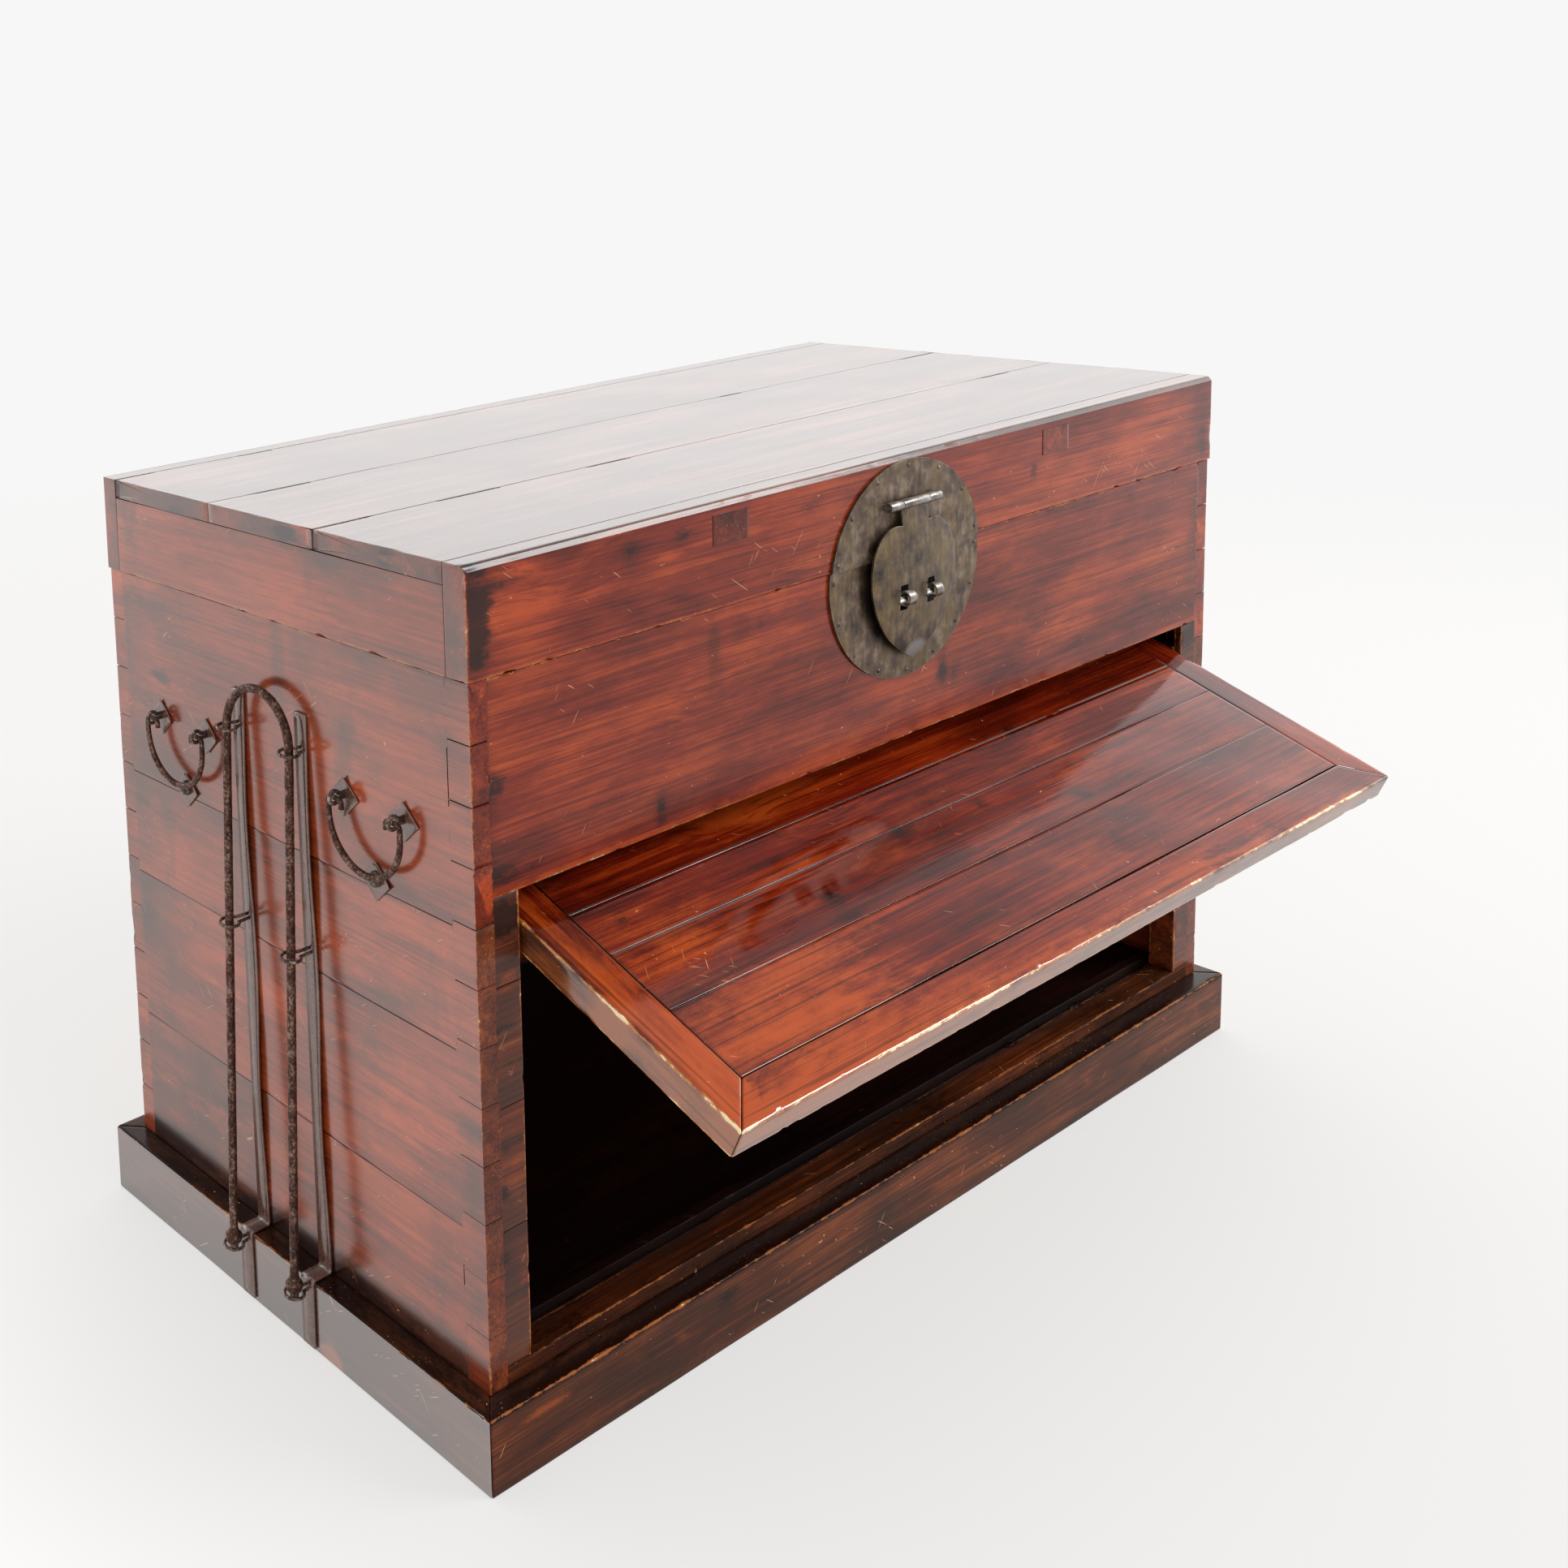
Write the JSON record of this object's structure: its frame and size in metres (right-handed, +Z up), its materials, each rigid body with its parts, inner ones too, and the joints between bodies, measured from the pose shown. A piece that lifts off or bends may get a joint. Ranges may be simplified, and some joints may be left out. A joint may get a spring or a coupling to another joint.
{
  "type": "storage chest",
  "caption": "Lacquered wood storage trunk with lift lid, round lock plate and hasp, swing-up front flap, sliding carrying handles and drop bails on a wider plinth",
  "frame": {"origin": "middle of the underside of the box around the whole part with the flap open as stored, on the floor", "axes": "+X along the width to the right seen from the front, -Y out of the front, +Z up"},
  "size_m": [1.1746, 0.6984, 0.734],
  "materials": {
    "case_wood": "glossy red-brown lacquer, worn at the edges",
    "lid_wood": "glossy red-brown lacquer, worn at the edges",
    "flap_wood": "glossy orange-red lacquer with dark knots",
    "plinth_wood": "worn brown lacquer",
    "inner_wood": "bare dark softwood",
    "plate_brass": "dull brown-olive patina",
    "lock_steel": "worn bright iron",
    "iron": "dark wrought iron with a little rust"
  },
  "bodies": {
    "chest": {"plinth_front": "plinth_wood", "plinth_back": "plinth_wood", "plinth_left": "plinth_wood", "plinth_right": "plinth_wood", "floor_board": "inner_wood", "flap_stop": "inner_wood", "side_left_1": "case_wood", "side_left_2": "case_wood", "side_left_3": "case_wood", "side_left_4": "case_wood", "side_right_1": "case_wood", "side_right_2": "case_wood", "side_right_3": "case_wood", "side_right_4": "case_wood", "back_1": "case_wood", "back_2": "case_wood", "header_board": "case_wood", "sill": "case_wood", "stile_left": "case_wood", "stile_right": "case_wood", "flap_runners": "inner_wood", "lock_plate_lower": "plate_brass", "nails_lower": "lock_steel", "staples": "lock_steel", "hinge_leaves_lower": "iron", "hinge_pins": "iron", "handle_straps": "iron", "handle_eyes": "iron", "bail_posts": "iron", "bail_plates": "iron"},
    "lid": {"lid_front": "lid_wood", "lid_back": "lid_wood", "lid_left": "lid_wood", "lid_right": "lid_wood", "lid_plank_1": "lid_wood", "lid_plank_2": "lid_wood", "lid_plank_3": "lid_wood", "lid_battens": "lid_wood", "lock_plate_upper": "plate_brass", "nails_upper": "lock_steel", "hasp_hanger": "lock_steel", "hasp_pin": "lock_steel", "hinge_leaves_upper": "iron"},
    "hasp": {"hasp": "plate_brass"},
    "flap_pins": {"flap_pins": "iron"},
    "flap": {"flap_rail_top": "flap_wood", "flap_rail_bottom": "flap_wood", "flap_stile_left": "flap_wood", "flap_stile_right": "flap_wood", "flap_plank_1": "flap_wood", "flap_plank_2": "flap_wood", "flap_plank_3": "flap_wood", "flap_plank_4": "flap_wood"},
    "handle_left": {"handle_left": "iron"},
    "handle_right": {"handle_right": "iron"},
    "bail_left_front": {"bail_left_front": "iron"},
    "bail_left_back": {"bail_left_back": "iron"},
    "bail_right_front": {"bail_right_front": "iron"},
    "bail_right_back": {"bail_right_back": "iron"}
  },
  "joints": [
    {"name": "lid_hinge", "type": "hinge", "parent": "chest", "child": "lid", "pos_m": [0, 0.33855, 0.64465], "axis": [-1, 0, 0], "range_deg": [0, 100]},
    {"name": "hasp_hinge", "type": "hinge", "parent": "lid", "child": "hasp", "pos_m": [0, -0.15975, 0.692], "axis": [-1, 0, 0], "range_deg": [0, 150]},
    {"name": "flap_slide", "type": "slide", "parent": "chest", "child": "flap_pins", "axis": [0, -0.9674, -0.2531], "range_m": [0, 0.14148]},
    {"name": "flap_hinge", "type": "hinge", "parent": "flap_pins", "child": "flap", "pos_m": [0, -0.00088, 0.48881], "axis": [1, 0, 0], "range_deg": [-5, 68.2]},
    {"name": "handle_left_slide", "type": "slide", "parent": "chest", "child": "handle_left", "axis": [0.045, 0, 0.999], "range_m": [0, 0.28]},
    {"name": "handle_right_slide", "type": "slide", "parent": "chest", "child": "handle_right", "axis": [-0.045, 0, 0.999], "range_m": [0, 0.28]},
    {"name": "bail_left_front_hinge", "type": "hinge", "parent": "chest", "child": "bail_left_front", "pos_m": [-0.552, -0.04075, 0.517], "axis": [0, 1, 0], "range_deg": [0, 115]},
    {"name": "bail_left_back_hinge", "type": "hinge", "parent": "chest", "child": "bail_left_back", "pos_m": [-0.552, 0.21925, 0.517], "axis": [0, 1, 0], "range_deg": [0, 115]},
    {"name": "bail_right_front_hinge", "type": "hinge", "parent": "chest", "child": "bail_right_front", "pos_m": [0.552, -0.04075, 0.517], "axis": [0, -1, 0], "range_deg": [0, 115]},
    {"name": "bail_right_back_hinge", "type": "hinge", "parent": "chest", "child": "bail_right_back", "pos_m": [0.552, 0.21925, 0.517], "axis": [0, -1, 0], "range_deg": [0, 115]}
  ]
}
